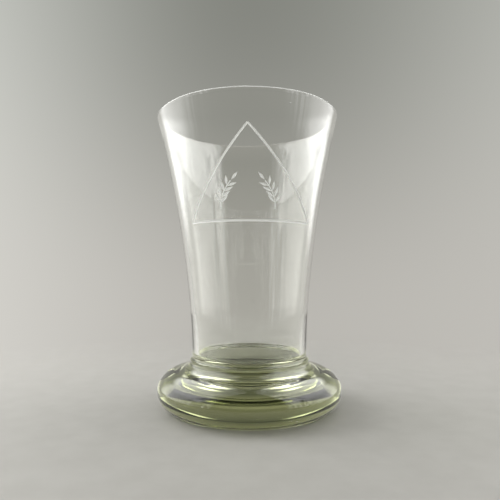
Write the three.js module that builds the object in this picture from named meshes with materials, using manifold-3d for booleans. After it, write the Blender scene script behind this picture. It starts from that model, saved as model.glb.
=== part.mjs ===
// Heavy-footed drinking glass: a flared bowl, a short collar and a thick round foot, all hot-joined glass.
// Millimetres, +Z up. The origin is the centre of the flat ring that the foot stands on.
import * as THREE from 'three';
import { mergeVertices } from 'three/addons/utils/BufferGeometryUtils.js';
import Module from 'manifold-3d';

const wasm = await Module();
wasm.setup();

// Heights of the three gathers of glass, as they show on the outside
const footHeight = 21.0;
const collarHeight = 1.7;
const bowlHeight = 102.3;

// Foot: a thick bun with a fully rounded edge
const footRadius = 40.0;
const footWidestHeight = 7.85;
const footLowerFullness = 1.8;
const footShoulderRadius = 28.4;
const footShoulderHeight = 17.3;
const shoulderRoundEnd = 69;
const shoulderHollowReach = 0.1;

// Underside: a flat ring to stand on, round a shallow hollow
const restRingOuterRadius = 32.8;
const restRingInnerRadius = 29.8;
const hollowEdgeRadius = 25.4;
const hollowEdgeDepth = 2.4;
const hollowMiddleRadius = 16.1;
const hollowMiddleDepth = 2.05;

// Collar: a flaring ring round the bottom of the bowl
const collarFootRadius = 25.9;
const collarFlareReach = 0.9;

// Bowl: straight at the waist, then a flare that grows with height
const waistRadius = 25.0;
const waistHeight = 3.2;
const mouthRadius = 39.0;
const flarePower = 1.7;

// The bowl's wall is thickest at the floor and thinnest at the lip
const bowlWall = 1.5;
const bowlWallAtFloor = 2.6;
const wallThinningHeight = 20.0;
const lipWall = 0.95;
const lipThinningHeight = 9.0;

// The bowl's dished floor, and the seat under it that follows it at the floor's thickness
const floorRadius = 19.0;
const floorEdgeBelowCollarTop = 1.7;
const floorDip = 4.85;
const floorRounding = 3.3;
const floorThickness = 1.3;

// Wheel-cut triangle on the front of the bowl, its corners given by their angles round the bowl
const triangleTopBelowRim = 12.1;
const triangleHeight = 34.9;
const triangleTopAngle = 0;
const triangleLeftAngle = -48;
const triangleRightAngle = 54;
const triangleLineWidth = 0.85;
const triangleLineDepth = 0.3;

// Two wheel-cut leaf sprigs inside the triangle, one each side, rising along its sides
const sprigFootReach = 10.5;
const sprigTipReach = 6.5;
const sprigBend = 1.2;
const sprigHeight = 10.0;
const sprigAboveLine = 4.6;
const stemWidth = 0.45;
const stemDepth = 0.18;
const leafLength = 3.4;
const leafWidth = 1.05;
const leafDepth = 0.3;
const leafSpread = 38;
const leafPairs = 4;
const leafGapToStem = 0.5;

// How finely the round shapes are faceted
const segmentsAround = 64;
const edgeSteps = 7;
const roundingSteps = 6;
const neckSteps = 5;
const dishSteps = 4;
const seatSteps = 3;
const flareSteps = 14;
const stemSteps = 8;
const lineStep = 2.6;

// A cut is drawn from this far outside the glass, so that it opens the surface cleanly
const cutRise = 0.35;
const cutEndShare = 0.12;

const collarTop = footHeight + collarHeight;
const rimHeight = collarTop + bowlHeight;
const lipHeight = rimHeight - lipWall / 2;
const floorEdgeHeight = collarTop - floorEdgeBelowCollarTop;
const roundingHeight = floorEdgeHeight + floorRounding;
const toRadians = THREE.MathUtils.degToRad;

// Points along part of an ellipse, angles in degrees from its outer side; a fullness over 2 squares it up
function ellipseArc(centreRadius, centreHeight, reach, rise, fromAngle, toAngle, steps, fullness = 2) {
  const full = (share) => Math.sign(share) * Math.abs(share) ** (2 / fullness);
  const points = [];
  for (let i = 0; i <= steps; i += 1) {
    const angle = toRadians(THREE.MathUtils.lerp(fromAngle, toAngle, i / steps));
    const across = reach * full(Math.cos(angle));
    const up = rise * full(Math.sin(angle));
    points.push(new THREE.Vector2(centreRadius + across, centreHeight + up));
  }
  return points;
}

// Points of a soft hollow curve from one point to another, drawn towards a corner
function hollowCurve(from, corner, to) {
  return new THREE.QuadraticBezierCurve(from, corner, to).getPoints(neckSteps);
}

// The dipped floor from the axis to the start of its rounding, its edge at the given height
function dish(edgeHeight) {
  const points = [];
  for (let i = 0; i <= dishSteps; i += 1) {
    const share = i / dishSteps;
    points.push(new THREE.Vector2(floorRadius * share, edgeHeight - floorDip * (1 - share * share)));
  }
  return points;
}

// The seat of the bowl: its inner part lies on the foot, its outer part on the collar
function seatParts() {
  const reach = floorRounding + floorThickness;
  const angleAt = (height) => -THREE.MathUtils.radToDeg(Math.asin((roundingHeight - height) / reach));
  const arc = (from, to) => ellipseArc(floorRadius, roundingHeight, reach, reach, from, to, seatSteps);
  const inner = [...dish(floorEdgeHeight - floorThickness), ...arc(-90, angleAt(footHeight)).slice(1)];
  return { inner, outer: arc(angleAt(footHeight), angleAt(collarTop)) };
}

const seat = seatParts();

// A closed solid turned about Z; its profile starts and ends on the axis or closes on itself
function turned(profile) {
  const lathe = new THREE.LatheGeometry(profile, segmentsAround);
  lathe.rotateX(Math.PI / 2);
  lathe.deleteAttribute('normal');
  lathe.deleteAttribute('uv');
  return mergeVertices(lathe, 1e-5);
}

function solidOf(geometry) {
  const vertProperties = new Float32Array(geometry.attributes.position.array);
  const triVerts = new Uint32Array(geometry.index.array);
  return new wasm.Manifold(new wasm.Mesh({ numProp: 3, vertProperties, triVerts }));
}

function geometryOf(solid) {
  const mesh = solid.getMesh();
  const geometry = new THREE.BufferGeometry();
  geometry.setAttribute('position', new THREE.BufferAttribute(mesh.vertProperties, 3));
  geometry.setIndex(new THREE.BufferAttribute(mesh.triVerts, 1));
  return geometry;
}

// Foot
function footProfile() {
  const underside = [
    new THREE.Vector2(0, hollowMiddleDepth),
    new THREE.Vector2(hollowMiddleRadius, hollowMiddleDepth),
    new THREE.Vector2(hollowEdgeRadius, hollowEdgeDepth),
    new THREE.Vector2(restRingInnerRadius, 0),
  ];
  const lowerReach = footRadius - restRingOuterRadius;
  const lowerEdge = ellipseArc(
    restRingOuterRadius, footWidestHeight, lowerReach, footWidestHeight, -90, 0, edgeSteps, footLowerFullness,
  );
  const upperReach = footRadius - footShoulderRadius;
  const upperRise = footShoulderHeight - footWidestHeight;
  const upperEdge = ellipseArc(
    footShoulderRadius, footWidestHeight, upperReach, upperRise, 0, shoulderRoundEnd, edgeSteps,
  ).slice(1);
  const shoulderEnd = upperEdge.pop();
  const corner = new THREE.Vector2(collarFootRadius + shoulderHollowReach, footShoulderHeight);
  const neck = hollowCurve(shoulderEnd, corner, new THREE.Vector2(collarFootRadius, footHeight));
  return [...underside, ...lowerEdge, ...upperEdge, ...neck, ...[...seat.inner].reverse()];
}

// Collar
function collarProfile() {
  const bottom = new THREE.Vector2(collarFootRadius, footHeight);
  const corner = new THREE.Vector2(collarFootRadius - collarFlareReach, footHeight + collarHeight / 2);
  const top = new THREE.Vector2(waistRadius, collarTop);
  return [seat.outer[0], ...hollowCurve(bottom, corner, top), ...[...seat.outer].reverse()];
}

// Bowl
function bowlRadiusAt(height) {
  const waist = collarTop + waistHeight;
  const share = Math.max(0, (height - waist) / (rimHeight - waist));
  return waistRadius + (mouthRadius - waistRadius) * share ** flarePower;
}

function bowlInnerRadiusAt(height) {
  const aboveFloor = THREE.MathUtils.clamp((height - floorEdgeHeight) / wallThinningHeight, 0, 1);
  const nearLip = Math.max(0, 1 - (lipHeight - height) / lipThinningHeight);
  const wall = THREE.MathUtils.lerp(bowlWallAtFloor, bowlWall, aboveFloor);
  return bowlRadiusAt(height) - THREE.MathUtils.lerp(wall, lipWall, nearLip ** 2);
}

function bowlProfile() {
  const lipRadius = lipWall / 2;
  const lipCentre = bowlRadiusAt(lipHeight) - lipRadius;
  const outer = [];
  const inner = [];
  for (let i = 0; i <= flareSteps; i += 1) {
    const outerHeight = THREE.MathUtils.lerp(collarTop, lipHeight, i / flareSteps);
    outer.push(new THREE.Vector2(bowlRadiusAt(outerHeight), outerHeight));
    const innerHeight = THREE.MathUtils.lerp(roundingHeight, lipHeight, i / flareSteps);
    inner.unshift(new THREE.Vector2(bowlInnerRadiusAt(innerHeight), innerHeight));
  }
  const lip = ellipseArc(lipCentre, lipHeight, lipRadius, lipRadius, 0, 180, roundingSteps).slice(1, -1);
  const stretch = bowlInnerRadiusAt(roundingHeight) - floorRadius;
  const rounding = ellipseArc(
    floorRadius, roundingHeight, stretch, floorRounding, 0, -90, roundingSteps,
  ).slice(1, -1);
  return [
    ...seat.inner,
    ...seat.outer.slice(1),
    ...outer,
    ...lip,
    ...inner,
    ...rounding,
    ...dish(floorEdgeHeight).reverse(),
  ];
}

// A point on the outside of the bowl, with its outward direction; angle 0 faces -Y, and +X is positive
function bowlSurface(angle, height) {
  const radius = bowlRadiusAt(height);
  const slope = bowlRadiusAt(height + 0.5) - bowlRadiusAt(height - 0.5);
  const across = new THREE.Vector3(Math.sin(angle), -Math.cos(angle), 0);
  const point = across.clone().multiplyScalar(radius).setZ(height);
  const outward = across.clone().setZ(-slope).normalize();
  return { point, outward };
}

// A wheel cut along stations of { angle, height, width, depth }: a V-shaped groove that follows the surface
function wheelCut(stations) {
  const spots = stations.map((station) => bowlSurface(station.angle, station.height));
  const positions = [];
  spots.forEach((spot, i) => {
    const { width, depth } = stations[i];
    const before = spots[Math.max(0, i - 1)].point;
    const after = spots[Math.min(spots.length - 1, i + 1)].point;
    const along = after.clone().sub(before).normalize();
    const side = new THREE.Vector3().crossVectors(spot.outward, along).normalize();
    const openHalf = (width / 2) * (1 + cutRise / depth);
    const top = spot.point.clone().addScaledVector(spot.outward, cutRise);
    positions.push(top.clone().addScaledVector(side, openHalf));
    positions.push(top.clone().addScaledVector(side, -openHalf));
    positions.push(spot.point.clone().addScaledVector(spot.outward, -depth));
  });
  const faces = [];
  for (let i = 0; i + 1 < spots.length; i += 1) {
    const here = 3 * i;
    const next = here + 3;
    for (let k = 0; k < 3; k += 1) {
      const m = (k + 1) % 3;
      faces.push(here + k, here + m, next + k, next + k, here + m, next + m);
    }
  }
  const last = 3 * (spots.length - 1);
  faces.push(0, 2, 1, last, last + 1, last + 2);
  const geometry = new THREE.BufferGeometry().setFromPoints(positions);
  geometry.setIndex(faces);
  return solidOf(geometry);
}

function between(from, to, share) {
  return {
    angle: THREE.MathUtils.lerp(from.angle, to.angle, share),
    height: THREE.MathUtils.lerp(from.height, to.height, share),
  };
}

// A line of even width, straight in angle and height
function lineCut(from, to, width, depth) {
  const start = bowlSurface(from.angle, from.height).point;
  const end = bowlSurface(to.angle, to.height).point;
  const steps = Math.max(2, Math.ceil(start.distanceTo(end) / lineStep));
  const stations = [];
  for (let i = 0; i <= steps; i += 1) {
    stations.push({ ...between(from, to, i / steps), width, depth });
  }
  return wheelCut(stations);
}

// A short cut that swells in the middle and runs out at both ends
function leafCut(from, to) {
  const stations = [];
  for (let i = 0; i <= 4; i += 1) {
    const swell = Math.max(cutEndShare, Math.sin((Math.PI * i) / 4));
    const depth = leafDepth * Math.sqrt(swell);
    stations.push({ ...between(from, to, i / 4), width: leafWidth * swell, depth });
  }
  return wheelCut(stations);
}

// Triangle
function triangleCuts(topHeight, lineHeight) {
  const top = { angle: toRadians(triangleTopAngle), height: topHeight };
  const left = { angle: toRadians(triangleLeftAngle), height: lineHeight };
  const right = { angle: toRadians(triangleRightAngle), height: lineHeight };
  return [
    lineCut(top, left, triangleLineWidth, triangleLineDepth),
    lineCut(top, right, triangleLineWidth, triangleLineDepth),
    lineCut(left, right, triangleLineWidth, triangleLineDepth),
  ];
}

// One sprig: its stem bends a little to the given side, with leaves in pairs and one at its tip
function sprigCuts(side, lineHeight) {
  const foot = new THREE.Vector2(side * sprigFootReach, sprigAboveLine);
  const tip = new THREE.Vector2(side * sprigTipReach, sprigAboveLine + sprigHeight);
  const bendReach = (sprigFootReach + sprigTipReach) / 2 + 2 * sprigBend;
  const bend = foot.clone().lerp(tip, 0.5).setX(side * bendReach);
  const stemCurve = new THREE.QuadraticBezierCurve(foot, bend, tip);
  const place = (spot) => ({
    angle: toRadians(triangleTopAngle) + spot.x / bowlRadiusAt(lineHeight + spot.y),
    height: lineHeight + spot.y,
  });
  const stem = stemCurve.getPoints(stemSteps).map((spot) => ({
    ...place(spot), width: stemWidth, depth: stemDepth,
  }));
  const leafAt = (share, spread) => {
    const direction = stemCurve.getTangent(share).rotateAround(new THREE.Vector2(), toRadians(spread));
    const leafRoot = stemCurve.getPoint(share).addScaledVector(direction, leafGapToStem);
    const leafTip = leafRoot.clone().addScaledVector(direction, leafLength);
    return leafCut(place(leafRoot), place(leafTip));
  };
  const leaves = [leafAt(1, 0)];
  for (let i = 1; i <= leafPairs; i += 1) {
    const share = i / (leafPairs + 1);
    leaves.push(leafAt(share, leafSpread), leafAt(share, -leafSpread));
  }
  return [wheelCut(stem), ...leaves];
}

function engraving() {
  const topHeight = rimHeight - triangleTopBelowRim;
  const lineHeight = topHeight - triangleHeight;
  const cuts = [
    ...triangleCuts(topHeight, lineHeight),
    ...sprigCuts(-1, lineHeight),
    ...sprigCuts(1, lineHeight),
  ];
  return cuts.reduce((joined, cut) => joined.add(cut));
}

// Glass: clear and slightly green, deeper where it is thick
function piece(name, geometry, colour) {
  const glass = new THREE.MeshStandardMaterial({ color: colour, roughness: 0.04, metalness: 0 });
  const mesh = new THREE.Mesh(geometry, glass);
  mesh.name = name;
  return mesh;
}

const bowlSolid = solidOf(turned(bowlProfile())).subtract(engraving());

const group = new THREE.Group();
group.add(piece('foot', turned(footProfile()), 0x8f9a72));
group.add(piece('collar', turned(collarProfile()), 0xb4bbaa));
group.add(piece('bowl', geometryOf(bowlSolid), 0xdfe3dc));

export default group;
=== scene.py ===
# %% [markdown]
# # A heavy-footed toasting glass
# The real object is three gathers of glass joined hot: a thin blown bowl, a short collar and a
# thick foot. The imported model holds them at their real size, so it is loaded first and never
# moved. Each gather is then made again here with a finer surface, in the very place of its solid.

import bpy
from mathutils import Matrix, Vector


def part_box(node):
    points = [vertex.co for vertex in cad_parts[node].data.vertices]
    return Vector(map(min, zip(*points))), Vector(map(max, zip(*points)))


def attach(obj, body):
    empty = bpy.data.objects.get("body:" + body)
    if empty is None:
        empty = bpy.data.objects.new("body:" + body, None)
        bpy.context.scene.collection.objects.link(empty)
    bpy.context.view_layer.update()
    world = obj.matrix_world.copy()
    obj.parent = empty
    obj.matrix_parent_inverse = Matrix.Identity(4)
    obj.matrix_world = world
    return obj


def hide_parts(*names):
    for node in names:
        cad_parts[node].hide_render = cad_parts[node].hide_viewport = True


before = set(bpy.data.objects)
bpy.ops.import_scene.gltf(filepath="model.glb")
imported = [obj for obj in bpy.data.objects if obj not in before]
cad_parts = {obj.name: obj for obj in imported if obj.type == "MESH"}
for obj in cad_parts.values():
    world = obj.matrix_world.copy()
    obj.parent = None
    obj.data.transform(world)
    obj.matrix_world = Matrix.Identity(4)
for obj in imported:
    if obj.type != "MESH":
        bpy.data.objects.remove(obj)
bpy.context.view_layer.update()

# %% [markdown]
# Blender's unit here is the metre and glass is measured in millimetres, so one name turns one
# into the other. Operators act on all that is selected, and a loaded file leaves its objects
# selected. A small helper that selects one piece alone keeps every later step from touching the
# wrong one.

# %% Shared helpers
import math
import random

import bpy
from mathutils import Vector, noise

mm = 0.001


def select_only(piece):
    if bpy.context.mode != "OBJECT":
        bpy.ops.object.mode_set(mode="OBJECT")
    bpy.ops.object.select_all(action="DESELECT")
    piece.select_set(True)
    bpy.context.view_layer.objects.active = piece


def select_nothing():
    bpy.ops.object.select_all(action="DESELECT")


def told(piece):
    size = [round(v * 1000, 1) for v in piece.dimensions]
    print(piece.name, size, "mm,", len(piece.data.polygons), "faces")
    return piece


# %% [markdown]
# A turned form is a half-section swept once round its axis. A lathe worker thinks of glass the
# same way, so the section is drawn as a chain of points and spun. The chain starts as a small
# plane whose corners are merged to one point, and each next point is extruded. Afterwards the
# seam and the poles are merged, and only then are the faces turned outwards.

# %% Draw a section and spin it
turn_steps = 256


def arc(centre, reach, rise, first, last, steps, fullness=2.0):
    """Points along part of an ellipse, with angles in degrees from its outer side.

    A fullness of 2 is a true ellipse, and more squares it up.
    """
    points = []
    for i in range(steps + 1):
        turn = math.radians(first + (last - first) * i / steps)
        across, up = math.cos(turn), math.sin(turn)
        across = math.copysign(abs(across) ** (2 / fullness), across)
        up = math.copysign(abs(up) ** (2 / fullness), up)
        points.append(Vector((centre.x + reach * across, centre.y + rise * up)))
    return points


def hollow(start, corner, end, steps):
    """Points of a soft hollow curve that is drawn towards a corner."""
    shares = [i / steps for i in range(steps + 1)]
    return [start * (1 - s) ** 2 + corner * 2 * s * (1 - s) + end * s * s for s in shares]


def spin_section(name, section):
    select_nothing()
    bpy.ops.mesh.primitive_plane_add(size=mm)
    piece = bpy.context.object
    piece.name = piece.data.name = name
    bpy.ops.object.mode_set(mode="EDIT")
    bpy.ops.mesh.merge(type="CENTER")
    bpy.ops.transform.translate(value=(section[0].x, 0, section[0].y))
    for here, there in zip(section, section[1:]):
        step = (there.x - here.x, 0, there.y - here.y)
        bpy.ops.mesh.extrude_region_move(TRANSFORM_OT_translate={"value": step})
    bpy.ops.mesh.select_all(action="SELECT")
    bpy.ops.mesh.spin(steps=turn_steps, angle=math.tau, center=(0, 0, 0), axis=(0, 0, 1))
    bpy.ops.mesh.select_all(action="SELECT")
    bpy.ops.mesh.remove_doubles(threshold=0.002 * mm)
    bpy.ops.mesh.normals_make_consistent(inside=False)
    bpy.ops.object.mode_set(mode="OBJECT")
    return told(piece)


# %% [markdown]
# The bowl's round bottom sits in a shallow seat that the collar and the foot form together. One
# curve describes the seat, and the inner floor follows it at the thickness of the glass. A hair
# of space is left between neighbours, so that two surfaces never lie in the very same place.

# %% The seat between the gathers
rim_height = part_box("bowl")[1].z
waist_radius = 25.0 * mm
seat_top = 22.7 * mm
seat_edge_radius = 19.0 * mm
floor_edge_height = 21.0 * mm
floor_dip = 4.85 * mm
floor_rounding = 3.3 * mm
floor_thickness = 1.3 * mm
joint_gap = 0.02 * mm
rounding_centre = Vector((seat_edge_radius, floor_edge_height + floor_rounding))


def dish(edge_height, steps):
    """The dipped floor from the axis to the start of its rounding."""
    rs = [seat_edge_radius * i / steps for i in range(steps + 1)]
    return [Vector((r, edge_height - floor_dip * (1 - (r / seat_edge_radius) ** 2))) for r in rs]


def seat_curve(last_height, steps):
    """The seat from the axis out to a height on its rounded edge."""
    reach = floor_rounding + floor_thickness
    last = -math.degrees(math.asin((rounding_centre.y - last_height) / reach))
    rounded = arc(rounding_centre, reach, reach, -90, last, steps)
    return dish(floor_edge_height - floor_thickness, steps) + rounded[1:]


whole_seat = seat_curve(seat_top, 1)
seat_size = whole_seat[-1] - whole_seat[0]
print("seat:", round(seat_size.x * 2 / mm, 1), "mm wide,", round(seat_size.y / mm, 1), "mm deep")

# %% [markdown]
# The foot is a thick bun of glass: a narrow ring to stand on, a fully rounded edge and a soft
# rise to the collar. It could be a squashed sphere, but then the standing ring and the recess
# under it would be missing. Both matter here, because the bands seen inside the foot are those
# places refracted through it.

# %% Foot
foot_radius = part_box("foot")[1].x
foot_widest = 7.85 * mm
ring_outer = 32.8 * mm
ring_inner = 29.8 * mm
recess_edge = Vector((25.4, 2.4)) * mm
recess_flat = Vector((16.1, 2.05)) * mm
lower_fullness = 1.8
shoulder_radius = 28.4 * mm
shoulder_height = 17.3 * mm
shoulder_end = 69
shoulder_fullness = 2.03
neck = Vector((25.9, 21.0)) * mm
neck_corner = Vector((26.0, 17.3)) * mm
edge_steps = 28
neck_steps = 16
joint_steps = 10

lower_edge = arc(
    Vector((ring_outer, foot_widest)), foot_radius - ring_outer, foot_widest,
    -90, 0, edge_steps, lower_fullness,
)
upper_edge = arc(
    Vector((shoulder_radius, foot_widest)), foot_radius - shoulder_radius,
    shoulder_height - foot_widest, 0, shoulder_end, edge_steps, shoulder_fullness,
)
foot = spin_section(
    "thick_foot",
    [
        Vector((0, recess_flat.y)), recess_flat, recess_edge, Vector((ring_inner, 0)),
        *lower_edge, *upper_edge[1:], *hollow(upper_edge[-1], neck_corner, neck, neck_steps)[1:],
        *reversed(seat_curve(neck.y, joint_steps)),
    ],
)

# %% [markdown]
# The collar is a short ring round the bowl's bottom that flares from the bowl down to the foot.
# It is as wide as each neighbour where it meets them, so the outline runs on without a step.

# %% Collar
collar_hollow = 0.9 * mm
collar_inside_steps = 24
up_by_gap = Vector((0, joint_gap))
collar_corner = Vector((neck.x - collar_hollow, (neck.y + seat_top) / 2))
outside_curve = hollow(neck, collar_corner, Vector((waist_radius, seat_top)), joint_steps)
inside_start = seat_curve(neck.y + joint_gap, joint_steps)[-1]
inside_curve = [
    point for point in seat_curve(seat_top, collar_inside_steps)
    if point.y > inside_start.y and point.x > seat_edge_radius
]
collar = spin_section(
    "flared_collar",
    [inside_start, neck + up_by_gap, *outside_curve[1:], *reversed(inside_curve), inside_start],
)

# %% [markdown]
# The bowl is blown thin. It is straight at the waist and opens in a flare that grows with height.
# One formula gives the outside at any height, so the wall, the lip and the cut lines all follow
# it.

# %% Bowl
mouth_radius = 39.0 * mm
waist_height = 25.9 * mm
flare_power = 1.7
wall_high = 1.5 * mm
wall_low = 2.6 * mm
wall_change = 20 * mm
lip_wall = 0.95 * mm
lip_change = 9 * mm
lip_height = rim_height - lip_wall / 2
wall_steps = 96
bottom_steps = 20
lip_steps = 12
rounding_steps = 16
dish_steps = 24


def bowl_radius(height):
    share = max(0.0, (height - waist_height) / (rim_height - waist_height))
    return waist_radius + (mouth_radius - waist_radius) * share ** flare_power


def wall_at(height):
    """The wall thins from the floor up, and once more to the lip."""
    above_floor = min(1.0, max(0.0, (height - floor_edge_height) / wall_change))
    near_lip = max(0.0, 1 - (lip_height - height) / lip_change)
    return wall_low + (wall_high - wall_low) * above_floor - (wall_high - lip_wall) * near_lip ** 2


def bowl_section():
    lip = lip_wall / 2
    inside_bottom = rounding_centre.y
    shares = [i / wall_steps for i in range(wall_steps + 1)]
    outside = [seat_top + (lip_height - seat_top) * share for share in shares]
    inside = [lip_height + (inside_bottom - lip_height) * share for share in shares]
    stretch = bowl_radius(inside_bottom) - wall_at(inside_bottom) - seat_edge_radius
    lip_centre = Vector((bowl_radius(lip_height) - lip, lip_height))
    return [
        *[point + up_by_gap for point in seat_curve(seat_top, bottom_steps)],
        *[Vector((bowl_radius(z), z)) + up_by_gap * (z == seat_top) for z in outside],
        *arc(lip_centre, lip, lip, 0, 180, lip_steps)[1:-1],
        *[Vector((bowl_radius(z) - wall_at(z), z)) for z in inside],
        *arc(rounding_centre, stretch, floor_rounding, 0, -90, rounding_steps)[1:],
        *reversed(dish(floor_edge_height, dish_steps)[:-1]),
    ]


bowl = spin_section("blown_bowl", bowl_section())

# %% [markdown]
# Three straight lines are cut into the front of the bowl and make a triangle. It was cut by hand,
# so it reaches a little further to one side. Each place on the bowl is an angle round the axis
# and a height, and one helper turns both into a point on the outside.

# %% Where the lines run
triangle_top = Vector((0.0, rim_height / mm - 12.1))
triangle_left = Vector((-48.0, triangle_top.y - 34.9))
triangle_right = Vector((54.0, triangle_top.y - 34.9))
line_width = 0.85 * mm
line_depth = 0.3 * mm
cut_spacing = 1.2 * mm


def on_bowl(angle, height, lift=0.0):
    """A place on the outside of the bowl. Angle 0 faces -Y and +X is positive."""
    radius = bowl_radius(height) + lift
    return Vector((math.sin(angle) * radius, -math.cos(angle) * radius, height))


base_line = on_bowl(math.radians(triangle_left.x), triangle_left.y * mm)
base_line -= on_bowl(math.radians(triangle_right.x), triangle_right.y * mm)
print("the triangle is", round(base_line.length / mm, 1), "mm wide at its base, straight across")

# %% [markdown]
# Wheel cuts are ground into the outside with the rim of a small turning wheel. A bump map would
# look flat from close by, so each cut is a real groove, taken out with a Boolean modifier. The
# cutter is a curve that follows the bowl, given a round thickness and made a mesh. A cut's width
# and depth give the wheel's radius and how far outside the glass its middle runs.

# %% Wheel cuts


def make_cut(places, width, depth, swell):
    """One cutter along (angle, height) places.

    Swell gives the cutter's share of the full width along the way.
    """
    curve = bpy.data.curves.new("cut", "CURVE")
    curve.dimensions = "3D"
    curve.bevel_depth = mm
    curve.bevel_resolution = 3
    curve.use_fill_caps = True
    spline = curve.splines.new("POLY")
    spline.points.add(len(places) - 1)
    for i, (point, (angle, height)) in enumerate(zip(spline.points, places)):
        share = swell(i / (len(places) - 1))
        half, sink = width * share / 2, depth * share
        wheel = (half * half + sink * sink) / (2 * sink)
        point.co = (*on_bowl(angle, height, wheel - sink), 1)
        point.radius = wheel / mm
    cutter = bpy.data.objects.new("cut", curve)
    bpy.context.collection.objects.link(cutter)
    select_only(cutter)
    bpy.ops.object.convert(target="MESH")
    bpy.ops.object.mode_set(mode="EDIT")
    bpy.ops.mesh.select_all(action="SELECT")
    bpy.ops.mesh.remove_doubles(threshold=0.001 * mm)
    bpy.ops.mesh.normals_make_consistent(inside=False)
    bpy.ops.object.mode_set(mode="OBJECT")
    return cutter


def take_out(piece, cutter):
    groove = piece.modifiers.new("groove", "BOOLEAN")
    groove.operation = "DIFFERENCE"
    groove.solver = "MANIFOLD"
    groove.object = cutter
    before = len(piece.data.polygons)
    select_only(piece)
    bpy.ops.object.modifier_apply(modifier=groove.name)
    bpy.data.objects.remove(cutter)
    return len(piece.data.polygons) != before


print("a line is", round(line_width / mm, 2), "mm wide,", round(line_depth / mm, 2), "mm deep")

# %% [markdown]
# A line between two corners keeps to the bowl because its cutter takes many short steps, all at
# one depth. A straight cutter from corner to corner would run far too deep in the middle.

# %% Cut the triangle


def straight(start, end, steps):
    """(angle, height) places between two corners given in degrees and millimetres."""
    spots = [start.lerp(end, i / steps) for i in range(steps + 1)]
    return [(math.radians(s.x), s.y * mm) for s in spots]


def steady(share):
    return 1.0


cut_lines = [
    (triangle_top, triangle_left),
    (triangle_top, triangle_right),
    (triangle_left, triangle_right),
]
done = 0
for start, end in cut_lines:
    ends = [on_bowl(math.radians(c.x), c.y * mm) for c in (start, end)]
    steps = math.ceil((ends[0] - ends[1]).length / cut_spacing)
    done += take_out(bowl, make_cut(straight(start, end, steps), line_width, line_depth, steady))
print(done, "of", len(cut_lines), "lines cut into", bowl.name)

# %% [markdown]
# Inside the triangle stand two leaf sprigs, a common wheel-cut ornament. A leaf is a single touch
# of the wheel: it swells in the middle and runs out at both ends. The stem is a light line, and
# the leaves leave it in pairs with one more at the tip.

# %% Leaf sprigs
sprig_foot = Vector((10.5, 4.6))
sprig_tip = Vector((6.5, 14.6))
sprig_bend = 1.2
leaf_length = 3.4
leaf_width = 1.05 * mm
leaf_spread = 38
leaf_pairs = 4
leaf_gap = 0.5
stem_width = 0.45 * mm
stem_depth = 0.12 * mm
stem_steps = 10
leaf_steps = 8
leaf_root_steps = 20
thinnest_share = 0.2


def leaf_swell(share):
    return max(thinnest_share, math.sin(math.pi * share))


def sprig_place(spot):
    """(angle, height) of a spot given in millimetres across and above the triangle's base line."""
    height = (triangle_left.y + spot.y) * mm
    return (spot.x * mm / bowl_radius(height), height)


def turned(way, degrees):
    """A direction turned anticlockwise."""
    across, up = math.cos(math.radians(degrees)), math.sin(math.radians(degrees))
    return Vector((way.x * across - way.y * up, way.x * up + way.y * across))


def cut_sprig(side):
    start = Vector((side * sprig_foot.x, sprig_foot.y))
    end = Vector((side * sprig_tip.x, sprig_tip.y))
    bend = start.lerp(end, 0.5) + Vector((side * 2 * sprig_bend, 0))
    stem = [sprig_place(spot) for spot in hollow(start, bend, end, stem_steps)]
    cuts = [take_out(bowl, make_cut(stem, stem_width, stem_depth, steady))]
    leaves = [(1.0, 0)]
    for i in range(1, leaf_pairs + 1):
        leaves += [(i / (leaf_pairs + 1), leaf_spread), (i / (leaf_pairs + 1), -leaf_spread)]
    for share, spread in leaves:
        spot = hollow(start, bend, end, leaf_root_steps)[round(share * leaf_root_steps)]
        along_stem = ((bend - start) * (1 - share) + (end - bend) * share).normalized()
        way = turned(along_stem, spread)
        root = spot + way * leaf_gap
        tip = root + way * leaf_length
        places = [sprig_place(root.lerp(tip, i / leaf_steps)) for i in range(leaf_steps + 1)]
        cuts.append(take_out(bowl, make_cut(places, leaf_width, line_depth, leaf_swell)))
    return cuts


sprig_cuts = [*cut_sprig(-1), *cut_sprig(1)]
print(sum(sprig_cuts), "of", len(sprig_cuts), "sprig cuts made")
told(bowl)

# %% [markdown]
# Seeds are small bubbles of gas left in the glass. They are drawn out long as the gather is
# worked. Each is a small sphere, stretched, and turned inside out, because its surface is where
# the glass ends.

# %% Seeds in the glass
random.seed(11)
front_seeds = (((25, 35.5, 4.4), 0.22, 1.2), ((27, 35.0, 3.3), 0.13, 1.0))
more_foot_seeds = 16
seed_reach, seed_heights = (26, 36), (3.5, 12)
bowl_spots = ((4, 47), (25, 120.5), (-6, 116), (-31, 83), (38, 61), (160, 75), (-140, 104))


def add_seeds(piece, spots):
    """Joins seeds to a piece. Each spot is a place, a radius and a stretch along the turning."""
    seeds = []
    for place, radius, stretch in spots:
        select_nothing()
        bpy.ops.mesh.primitive_ico_sphere_add(subdivisions=2, radius=radius, location=place)
        seed = bpy.context.object
        bpy.ops.object.mode_set(mode="EDIT")
        bpy.ops.transform.resize(value=(stretch, 1, 1), center_override=place)
        turn = math.atan2(place.x, -place.y)
        bpy.ops.transform.rotate(value=-turn, orient_axis="Z", center_override=place)
        bpy.ops.mesh.normals_make_consistent(inside=True)
        bpy.ops.object.mode_set(mode="OBJECT")
        seeds.append(seed)
    select_only(piece)
    for seed in seeds:
        seed.select_set(True)
    bpy.ops.object.join()
    print(piece.name, "holds", len(seeds), "seeds")


def in_foot(angle, radius, height):
    """A place in the foot, in degrees from the front and in millimetres."""
    turn = math.radians(angle)
    return Vector((math.sin(turn) * radius, -math.cos(turn) * radius, height)) * mm


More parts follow.
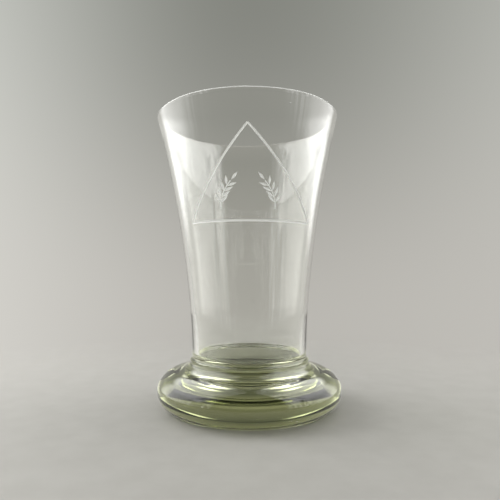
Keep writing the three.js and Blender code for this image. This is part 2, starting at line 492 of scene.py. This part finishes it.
foot_seeds = [(in_foot(*spot), radius * mm, stretch) for spot, radius, stretch in front_seeds]
for _ in range(more_foot_seeds):
    spot = (random.uniform(0, 360), random.uniform(*seed_reach), random.uniform(*seed_heights))
    place = in_foot(*spot)
    foot_seeds.append((place, random.uniform(0.08, 0.2) * mm, random.uniform(1.0, 2.2)))
add_seeds(foot, foot_seeds)
bowl_seeds = []
for angle, height in bowl_spots:
    place = on_bowl(math.radians(angle), height * mm, -wall_high / 2)
    bowl_seeds.append((place, random.uniform(0.12, 0.2) * mm, random.uniform(1.0, 1.6)))
add_seeds(bowl, bowl_seeds)

# %% [markdown]
# Cut glass stays matt where the wheel ground it, and clear everywhere else. The faces of the
# grooves are found by their place: they lie a little inside the bowl's outer surface. The Boolean
# modifier leaves an empty material slot behind, which is cleared before the slots are given.

# %% Find the ground faces and the faces that meet a neighbour
glass_slot, seam_slot, ground_slot = 0, 1, 2
least_sunk = 0.012 * mm
most_sunk = line_depth + 0.1 * mm
lowest_cut = 70 * mm
seam_reach = waist_radius - 0.1 * mm
bowl_seam_top = seat_top + 0.5 * mm
facing_down = -0.3


def mark_seams(piece, is_seam, slot=seam_slot):
    """Gives the faces that meet a neighbour the seam's slot and a mark that a shader can read."""
    mark = piece.data.attributes.new("seam", "FLOAT", "FACE")
    found = 0
    for face in piece.data.polygons:
        hidden = math.hypot(face.center.x, face.center.y) < seam_reach and is_seam(face)
        face.material_index = slot if hidden else glass_slot
        mark.data[face.index].value = hidden
        found += hidden
    print(piece.name, found, "faces meet a neighbour")


def mark_ground(piece):
    found = 0
    for face in piece.data.polygons:
        if face.center.z < lowest_cut or face.center.y > 0:
            continue
        sunk = bowl_radius(face.center.z) - math.hypot(face.center.x, face.center.y)
        if least_sunk < sunk < most_sunk:
            face.material_index = ground_slot
            found += 1
    print(piece.name, found, "faces are ground")


bowl.data.materials.clear()
mark_seams(foot, lambda face: face.center.z > foot_widest, glass_slot)
mark_seams(collar, lambda face: True)
mark_seams(bowl, lambda face: face.center.z < bowl_seam_top and face.normal.z < facing_down)
mark_ground(bowl)

# %% [markdown]
# Old glass is never quite round. The bowl leans by less than a millimetre, its lip rises and
# falls, and its wall waves. Those are large soft shapes, so they are moved in the mesh itself and
# not left to a bump. All of it fades out at the waist, where the bowl has to meet the collar.

# %% Hand-made unevenness
lean = -0.85 * mm
lip_tilt = 0.25 * mm
lip_wave = 0.3 * mm
lip_level = 0.36
lip_zone = 0.15
lip_bends, lip_start = 1.6, 4.2
wall_wave = 0.16 * mm
wave_size = 26 * mm
wave_start = Vector((3.1, 7.7, 1.3))
settle = 12 * mm


def uneven(co):
    share = min(1.0, max(0.0, (co.z - seat_top) / (rim_height - seat_top)))
    free = min(1.0, max(0.0, (co.z - seat_top) / settle))
    out = Vector((co.x, co.y, 0))
    spread = noise.noise(co / wave_size + wave_start) * wall_wave * free * (0.5 + share)
    moved = co + (out.normalized() * spread if out.length > 0 else Vector())
    moved.x += lean * share
    near_lip = max(0.0, (share - 1 + lip_zone) / lip_zone) ** 2
    turn = math.atan2(co.y, co.x)
    around = Vector((math.cos(turn) * lip_bends, math.sin(turn) * lip_bends, lip_start))
    wave = noise.noise(around)
    moved.z += near_lip * (lip_tilt * co.x / mouth_radius + lip_wave * (wave + lip_level))
    return moved


for point in bowl.data.vertices:
    point.co = uneven(point.co)
bowl.data.update()
told(bowl)

# %% [markdown]
# Every glass gets the same two faults, each with its own values, so they are shader node groups
# with named inputs. The first is waves, which tilt the surface a little, as cooling glass does.
# The group puts out only a normal. The shader itself stays in the material.

# %% Shared node group for waves
cord_stretch = (1.0, 1.0, 0.35)


def new_group(name, inputs, outputs):
    group = bpy.data.node_groups.new(name, "ShaderNodeTree")
    for label, kind, value in inputs:
        socket = group.interface.new_socket(label, in_out="INPUT", socket_type=kind)
        socket.default_value = value
    for label, kind in outputs:
        group.interface.new_socket(label, in_out="OUTPUT", socket_type=kind)
    return group, group.nodes.new("NodeGroupInput"), group.nodes.new("NodeGroupOutput")


def make_waves():
    group, given, result = new_group(
        "glass_waves",
        [("Scale", "NodeSocketFloat", 40.0), ("Depth", "NodeSocketFloat", 0.02 * mm)],
        [("Normal", "NodeSocketVector")],
    )
    nodes, links = group.nodes, group.links
    place = nodes.new("ShaderNodeTexCoord")
    stretch = nodes.new("ShaderNodeMapping")
    stretch.inputs["Scale"].default_value = cord_stretch
    cords = nodes.new("ShaderNodeTexNoise")
    cords.inputs["Detail"].default_value = 1.0
    bump = nodes.new("ShaderNodeBump")
    bump.inputs["Strength"].default_value = 1.0
    links.new(place.outputs["Object"], stretch.inputs["Vector"])
    links.new(stretch.outputs["Vector"], cords.inputs["Vector"])
    links.new(given.outputs["Scale"], cords.inputs["Scale"])
    links.new(given.outputs["Depth"], bump.inputs["Distance"])
    links.new(cords.outputs["Fac"], bump.inputs["Height"])
    links.new(bump.outputs["Normal"], result.inputs["Normal"])
    return group


glass_waves = make_waves()
print("made", glass_waves.name)

# %% [markdown]
# The second fault is marks, the faint dull patches that handling leaves on polished glass. They
# could be painted, but a soft noise is as good at this strength. Only its higher part is used, so
# most of the surface stays bright. The group puts out a roughness.

# %% Shared node group for marks
patch_edge = (0.52, 0.8)


def make_marks():
    group, given, result = new_group(
        "handling_marks",
        [("Scale", "NodeSocketFloat", 60.0), ("Most", "NodeSocketFloat", 0.03)],
        [("Roughness", "NodeSocketFloat")],
    )
    nodes, links = group.nodes, group.links
    place = nodes.new("ShaderNodeTexCoord")
    patches = nodes.new("ShaderNodeTexNoise")
    patches.inputs["Detail"].default_value = 3.0
    spread = nodes.new("ShaderNodeMapRange")
    spread.inputs["From Min"].default_value, spread.inputs["From Max"].default_value = patch_edge
    links.new(place.outputs["Object"], patches.inputs["Vector"])
    links.new(given.outputs["Scale"], patches.inputs["Scale"])
    links.new(patches.outputs["Fac"], spread.inputs["Value"])
    links.new(given.outputs["Most"], spread.inputs["To Max"])
    links.new(spread.outputs["Result"], result.inputs["Roughness"])
    return group


handling_marks = make_marks()
print("made", handling_marks.name)

# %% [markdown]
# Glass is a Principled shader with full transmission. Lamps can't find their way through bent
# surfaces, so for shadow rays the surface turns to a plain clear one, which keeps the shadow of
# the glass pale. Thick glass is green because light is lost along the way, so the foot also has
# an absorbing volume.

# %% Glass
glass_index = 1.5


def make_glass(name, tint, shadow_tint, wave, marks=None):
    """Clear glass. Wave is a scale and a depth, and marks are a scale and the most roughness."""
    material = bpy.data.materials.new(name)
    material.use_nodes = True
    nodes, links = material.node_tree.nodes, material.node_tree.links
    shader = nodes["Principled BSDF"]
    shader.inputs["Base Color"].default_value = (*tint, 1)
    shader.inputs["Transmission Weight"].default_value = 1.0
    shader.inputs["IOR"].default_value = glass_index
    waves = nodes.new("ShaderNodeGroup")
    waves.node_tree = glass_waves
    waves.inputs["Scale"].default_value, waves.inputs["Depth"].default_value = wave
    links.new(waves.outputs["Normal"], shader.inputs["Normal"])
    if marks:
        dull = nodes.new("ShaderNodeGroup")
        dull.node_tree = handling_marks
        dull.inputs["Scale"].default_value, dull.inputs["Most"].default_value = marks
        links.new(dull.outputs["Roughness"], shader.inputs["Roughness"])
    rays = nodes.new("ShaderNodeLightPath")
    clear = nodes.new("ShaderNodeBsdfTransparent")
    clear.inputs["Color"].default_value = (*shadow_tint, 1)
    for_lamps = nodes.new("ShaderNodeMixShader")
    links.new(rays.outputs["Is Shadow Ray"], for_lamps.inputs[0])
    links.new(shader.outputs["BSDF"], for_lamps.inputs[1])
    links.new(clear.outputs["BSDF"], for_lamps.inputs[2])
    links.new(for_lamps.outputs["Shader"], nodes["Material Output"].inputs["Surface"])
    return material


bowl_glass = make_glass(
    "thin_clear_glass", (0.94, 0.945, 0.925), (0.95, 0.955, 0.94), (38.0, 0.05 * mm), (70.0, 0.02)
)
collar_glass = make_glass(
    "tinted_collar_glass", (0.93, 0.935, 0.87), (0.9, 0.91, 0.87), (60.0, 0.02 * mm), (90.0, 0.02)
)
foot_glass = make_glass(
    "thick_green_glass", (1.0, 1.0, 1.0), (0.26, 0.27, 0.2), (45.0, 0.03 * mm), (90.0, 0.03)
)
print("glass in three tints:", bowl_glass.name, collar_glass.name, foot_glass.name)

# %% [markdown]
# The volume takes its colour from how far light travels in it: pale at the thin edge, olive in
# the middle. Where the foot meets the collar there is no surface in the real glass, so there the
# foot's index falls to 1 and light goes straight on. It stays the same material, so that light
# which leaves there leaves the volume too.

# %% Depth of colour in the foot
foot_colour = (0.385, 0.425, 0.05)
foot_density = 25.0


def colour_by_depth(material, colour, density):
    nodes, links = material.node_tree.nodes, material.node_tree.links
    depth = nodes.new("ShaderNodeVolumeAbsorption")
    depth.inputs["Color"].default_value = (*colour, 1)
    depth.inputs["Density"].default_value = density
    links.new(depth.outputs["Volume"], nodes["Material Output"].inputs["Volume"])


def no_surface_at_seams(material):
    nodes, links = material.node_tree.nodes, material.node_tree.links
    mark = nodes.new("ShaderNodeAttribute")
    mark.attribute_name = "seam"
    index = nodes.new("ShaderNodeMapRange")
    index.inputs["To Min"].default_value = glass_index
    index.inputs["To Max"].default_value = 1.0
    links.new(mark.outputs["Fac"], index.inputs["Value"])
    links.new(index.outputs["Result"], nodes["Principled BSDF"].inputs["IOR"])


colour_by_depth(foot_glass, foot_colour, foot_density)
no_surface_at_seams(foot_glass)

# %% [markdown]
# The bowl and the collar are thin and nearly clear, so they need no volume. Their hidden faces
# where two gathers meet can then be a plain see-through material of their own. The ground faces
# of the cuts are matt: light spreads in them, which is why they show as pale lines.

# %% Seams and ground faces
seam_clear = bpy.data.materials.new("seam_clear")
seam_clear.use_nodes = True
seam_nodes, seam_links = seam_clear.node_tree.nodes, seam_clear.node_tree.links
seam_through = seam_nodes.new("ShaderNodeBsdfTransparent")
seam_nodes.remove(seam_nodes["Principled BSDF"])
seam_links.new(seam_through.outputs["BSDF"], seam_nodes["Material Output"].inputs["Surface"])

ground_roughness = 0.55
ground_transmission = 0.1
ground_glass = make_glass(
    "wheel_ground_glass", (0.96, 0.97, 0.94), (0.9, 0.91, 0.88), (400.0, 0.01 * mm)
)
ground_shader = ground_glass.node_tree.nodes["Principled BSDF"]
ground_shader.inputs["Roughness"].default_value = ground_roughness
ground_shader.inputs["Transmission Weight"].default_value = ground_transmission


def dress(piece, *materials):
    for material in materials:
        piece.data.materials.append(material)


dress(foot, foot_glass)
dress(collar, collar_glass, seam_clear)
dress(bowl, bowl_glass, seam_clear, ground_glass)
print(bowl.name, "wears", [material.name for material in bowl.data.materials])

# %% [markdown]
# Smooth shading hides the facets, and edges over thirty degrees stay crisp, as the rims of the
# cuts are. Then each piece moves with the root body, and the solid it stands for is hidden.

# %% Join the pieces to the construction
crisp_angle = math.radians(30)

for piece, node in ((foot, "foot"), (collar, "collar"), (bowl, "bowl")):
    select_only(piece)
    bpy.ops.object.shade_smooth_by_angle(angle=crisp_angle)
    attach(piece, "root")
    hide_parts(node)
    told(piece)
select_nothing()

# %% [markdown]
# The floor is a round table top, much wider than the glass. A square one would do as well, but a
# round one fades alike on every side.

# %% Table top
floor_radius = 0.9
floor_sides = 96

bpy.ops.mesh.primitive_circle_add(vertices=floor_sides, radius=floor_radius, fill_type="TRIFAN")
floor = bpy.context.object
floor.name = "table_top"
told(floor)

# %% [markdown]
# The table fades out into the backdrop, so no edge shows from any side. A hard edge or a horizon
# would be refracted by the glass and would show inside it. A plain mix of paper and nothing would
# still leave a thin line where the denoiser changes its mind, so each point is either paper or
# clear, by a fine grain, and only the share of clear points grows outwards. The paper is faintly
# mottled, which keeps the large pale surface from looking like a blank.

# %% Paper that fades out


def ranged(nodes, links, source, given, wanted, kind="LINEAR"):
    """A value brought from one range to another, held at both ends."""
    node = nodes.new("ShaderNodeMapRange")
    node.interpolation_type = kind
    node.inputs["From Min"].default_value, node.inputs["From Max"].default_value = given
    node.inputs["To Min"].default_value, node.inputs["To Max"].default_value = wanted
    links.new(source, node.inputs["Value"])
    return node.outputs["Result"]


floor_fade = (0.05, 0.26)
mottle_scale, mottle_detail = 90, 6
mottle_edge = (0.35, 0.65)
paper_pale = (0.50, 0.49, 0.46)
paper_dark = (0.47, 0.46, 0.43)
paper_roughness = 0.6

floor_material = bpy.data.materials.new("table_paper")
floor_material.use_nodes = True
floor_nodes, floor_links = floor_material.node_tree.nodes, floor_material.node_tree.links
floor_shader = floor_nodes["Principled BSDF"]
floor_shader.inputs["Roughness"].default_value = paper_roughness
floor_place = floor_nodes.new("ShaderNodeTexCoord")
mottle = floor_nodes.new("ShaderNodeTexNoise")
mottle.inputs["Scale"].default_value = mottle_scale
mottle.inputs["Detail"].default_value = mottle_detail
paper = floor_nodes.new("ShaderNodeMix")
paper.data_type = "RGBA"
paper.inputs["A"].default_value = (*paper_dark, 1)
paper.inputs["B"].default_value = (*paper_pale, 1)
floor_length = floor_nodes.new("ShaderNodeVectorMath")
floor_length.operation = "LENGTH"
floor_links.new(floor_place.outputs["Object"], mottle.inputs["Vector"])
floor_links.new(floor_place.outputs["Object"], floor_length.inputs[0])
clear_share = ranged(
    floor_nodes, floor_links, floor_length.outputs["Value"], floor_fade, (0, 1), "SMOOTHSTEP"
)
paper_share = ranged(floor_nodes, floor_links, mottle.outputs["Fac"], mottle_edge, (0, 1))
grain = floor_nodes.new("ShaderNodeTexWhiteNoise")
is_clear = floor_nodes.new("ShaderNodeMath")
is_clear.operation = "LESS_THAN"
floor_links.new(floor_place.outputs["Object"], grain.inputs["Vector"])
floor_links.new(grain.outputs["Value"], is_clear.inputs[0])
floor_links.new(clear_share, is_clear.inputs[1])
floor_clear = floor_nodes.new("ShaderNodeBsdfTransparent")
floor_mix = floor_nodes.new("ShaderNodeMixShader")
floor_links.new(paper_share, paper.inputs["Factor"])
floor_links.new(paper.outputs["Result"], floor_shader.inputs["Base Color"])
floor_links.new(is_clear.outputs["Value"], floor_mix.inputs[0])
floor_links.new(floor_shader.outputs["BSDF"], floor_mix.inputs[1])
floor_links.new(floor_clear.outputs["BSDF"], floor_mix.inputs[2])
floor_links.new(floor_mix.outputs["Shader"], floor_nodes["Material Output"].inputs["Surface"])
floor.data.materials.append(floor_material)
print("the table top is whole out to", floor_fade[0], "m and gone at", floor_fade[1], "m")

# %% [markdown]
# The backdrop is the world itself: pale grey at table height, darker higher up and paler to both
# sides. A painted cloth would do as well, but it would need a place of its own behind the glass
# from every side. The glass refracts that same backdrop, so what shows through the bowl agrees
# with what shows beside it.

# %% Backdrop
wall_at_table = (0.49, 0.475, 0.44)
wall_above = (0.235, 0.24, 0.215)
side_glows = {
    -1: ((0.31, 0.31, 0.30), (0.70, 0.71, 0.68)),
    1: ((0.07, 0.07, 0.07), (0.46, 0.46, 0.44)),
}
black = (0, 0, 0)
rise_range = (-0.1, 0.55)

backdrop = bpy.data.worlds.new("backdrop")
bpy.context.scene.world = backdrop
backdrop.use_nodes = True
world_nodes, world_links = backdrop.node_tree.nodes, backdrop.node_tree.links


def blend(kind, first, second, share=1.0):
    """Two colours or values brought together the given way."""
    node = world_nodes.new("ShaderNodeMix")
    node.data_type = "RGBA"
    node.blend_type = kind
    for label, given in (("Factor", share), ("A", first), ("B", second)):
        if isinstance(given, bpy.types.NodeSocket):
            world_links.new(given, node.inputs[label])
        else:
            node.inputs[label].default_value = given if label == "Factor" else (*given, 1)
    return node.outputs["Result"]


def eased(source, given, wanted=(0, 1)):
    """A value of the backdrop brought softly from one range to another."""
    return ranged(world_nodes, world_links, source, given, wanted, "SMOOTHSTEP")


direction = world_nodes.new("ShaderNodeTexCoord").outputs["Generated"]
parts = world_nodes.new("ShaderNodeSeparateXYZ")
world_links.new(direction, parts.inputs["Vector"])
right_part, back_part, up_part = (parts.outputs[label] for label in "XYZ")

rise = eased(up_part, rise_range)
wall = blend("MIX", wall_at_table, wall_above, rise)
for side, (glow_at_table, glow_above) in side_glows.items():
    glow = blend("MIX", glow_at_table, glow_above, rise)
    wall = blend("ADD", wall, blend("MIX", black, glow, eased(right_part, (0, side))))
print("backdrop nodes", len(world_nodes))

# %% [markdown]
# Glass shows mostly what it mirrors, so the rest of the studio has to be there for mirrored rays.
# Behind the camera the room is dim, and at each side stands a tall soft box that starts at the
# table. The front part of each box is hung with cloth, whose folds give the upright streaks in
# the bowl. The upper part of each box stands further round to the back, and its light is
# stronger.

# %% Soft boxes
dim_front = (0.10, 0.10, 0.095)
front_range, cloth_range = (0.35, -0.6), (-0.35, 0.0)
box_bottom, gain_start, upper_start, box_end = (-0.06, 0.05), (0.3, 0.55), (0.4, 0.55), (0.85, 0.98)
box_faint, box_strength = 0.1, 2.7
upper_gain, top_share = 1.6, 0.3
box_angle, box_edge, box_core = 90, 50, 32
upper_angle, upper_edge, upper_core = 115, 52, 36
fold_scale, fold_rise_scale = 7.5, 0.12
fold_edge, fold_light = (0.43, 0.57), (0.3, 1.1)
smooth_cloth = (0.95, 0.95, 0.95)

level_part = world_nodes.new("ShaderNodeVectorMath")
level_part.operation = "MULTIPLY"
level_part.inputs[1].default_value = (1, 1, 0)
level_way = world_nodes.new("ShaderNodeVectorMath")
level_way.operation = "NORMALIZE"
world_links.new(direction, level_part.inputs[0])
world_links.new(level_part.outputs["Vector"], level_way.inputs[0])


def box_share(angle, edge, core):
    """How much of a box lies in a direction: all within its core and none beyond its edge.

    The angles are in degrees, and the first is counted from the front to the box's middle.
    """
    way = (-math.sin(math.radians(angle)), -math.cos(math.radians(angle)), 0)
    towards = world_nodes.new("ShaderNodeVectorMath")
    towards.operation = "DOT_PRODUCT"
    towards.inputs[1].default_value = way
    world_links.new(level_way.outputs["Vector"], towards.inputs[0])
    reach = (math.cos(math.radians(edge)), math.cos(math.radians(core)))
    return eased(towards.outputs["Value"], reach)


upright = world_nodes.new("ShaderNodeVectorMath")
upright.operation = "MULTIPLY"
upright.inputs[1].default_value = (1, 1, fold_rise_scale)
folds = world_nodes.new("ShaderNodeTexNoise")
folds.inputs["Scale"].default_value = fold_scale
folds.inputs["Detail"].default_value = 2.0
world_links.new(direction, upright.inputs[0])
world_links.new(upright.outputs["Vector"], folds.inputs["Vector"])
streaks = eased(folds.outputs["Fac"], fold_edge, fold_light)
cloth = blend("MIX", streaks, smooth_cloth, eased(back_part, cloth_range))

box_low = eased(up_part, box_bottom, (box_faint, box_strength))
box_high = eased(up_part, gain_start, (1, upper_gain))
box_top = eased(up_part, box_end, (1, top_share))
box_light = blend("MULTIPLY", box_low, blend("MULTIPLY", box_high, box_top))
upper_half = eased(up_part, upper_start)
room = blend("MIX", wall, dim_front, eased(back_part, front_range))
for side in (1, -1):
    main_share = box_share(side * box_angle, box_edge, box_core)
    upper_share = box_share(side * upper_angle, upper_edge, upper_core)
    upper_part = blend("MULTIPLY", upper_half, upper_share)
    share = blend("LIGHTEN", blend("MULTIPLY", main_share, cloth), upper_part)
    room = blend("ADD", room, blend("MULTIPLY", share, box_light))
print("backdrop and room nodes", len(world_nodes))

# %% [markdown]
# Light Path tells what has happened to a ray. Its Glossy Depth says whether the ray has been
# mirrored yet, and so picks the backdrop or the room. Its Diffuse Depth says whether it has left
# a matt surface. Such rays get less, so that the lamps shape the shadows and the table under the
# foot stays dark.

# %% What each ray sees
fill_share = 0.4
background = world_nodes["Background"]
rays = world_nodes.new("ShaderNodeLightPath")
mirrored = ranged(world_nodes, world_links, rays.outputs["Glossy Depth"], (0, 1), (0, 1))
fill = ranged(world_nodes, world_links, rays.outputs["Diffuse Depth"], (0, 1), (1, fill_share))
world_links.new(blend("MIX", wall, room, mirrored), background.inputs["Color"])
world_links.new(fill, background.inputs["Strength"])
print("matt surfaces get", fill_share, "of the room's light")

# %% [markdown]
# The table needs light of its own to look as pale as its paper is, with soft shadows to both
# sides. Two lamps stand where the soft boxes are, and one hangs above. A low one in front makes
# the matt cuts pale and hardly reaches the table. The lamps light matt surfaces only, because the
# glass already mirrors the boxes.

# %% Lamps
lamp_size = (0.4, 0.5)
lamp_spots = {
    "soft_box_left": (-0.5, 0.12, 0.3, 2.6),
    "soft_box_right": (0.5, 0.12, 0.3, 0.9),
    "soft_box_above": (0, 0.1, 0.8, 0.6),
    "soft_box_front": (0, -0.6, 0.15, 1.3),
}
lamp_target = Vector((0, 0, 0.03))

for name, (x, y, z, power) in lamp_spots.items():
    light = bpy.data.lights.new(name, "AREA")
    light.shape = "RECTANGLE"
    light.size, light.size_y = lamp_size
    light.energy = power
    lamp = bpy.data.objects.new(name, light)
    bpy.context.collection.objects.link(lamp)
    lamp.location = (x, y, z)
    lamp.rotation_euler = (lamp_target - lamp.location).to_track_quat("-Z", "Y").to_euler()
    lamp.visible_camera = lamp.visible_glossy = lamp.visible_transmission = False
print(len(lamp_spots), "lamps give", round(sum(spot[3] for spot in lamp_spots.values()), 1), "W")

# %% [markdown]
# The camera stands very near, level, at about half the glass's height. That is why the rim is
# seen from below and the foot from above. A small shift frames the whole glass.

# %% Camera
picture_width = 500
focal_pixels = 460.33
horizon_below_middle = 26
axis_right_of_middle = -0.6
camera_distance = 0.203
camera_height = 0.057

camera_data = bpy.data.cameras.new("camera")
camera = bpy.data.objects.new("camera", camera_data)
bpy.context.collection.objects.link(camera)
camera.location = (0, -camera_distance, camera_height)
camera.rotation_euler = (math.pi / 2, 0, 0)
camera_data.sensor_width = 36
camera_data.lens = camera_data.sensor_width * focal_pixels / picture_width
camera_data.shift_x = -axis_right_of_middle / picture_width
camera_data.shift_y = horizon_below_middle / picture_width
camera_data.clip_start = 0.01
bpy.context.scene.camera = camera
print("camera with", round(camera_data.lens, 1), "mm lens,", camera_distance, "m away")

# %% [markdown]
# A ray crosses many surfaces in a thick foot, so it is allowed more bounces than usual. Otherwise
# the places where light runs to and fro inside would turn black.

# %% Picture settings
settings = bpy.context.scene
settings.view_settings.view_transform = "Standard"
settings.cycles.max_bounces = 28
settings.cycles.transmission_bounces = 24
settings.cycles.transparent_max_bounces = 24
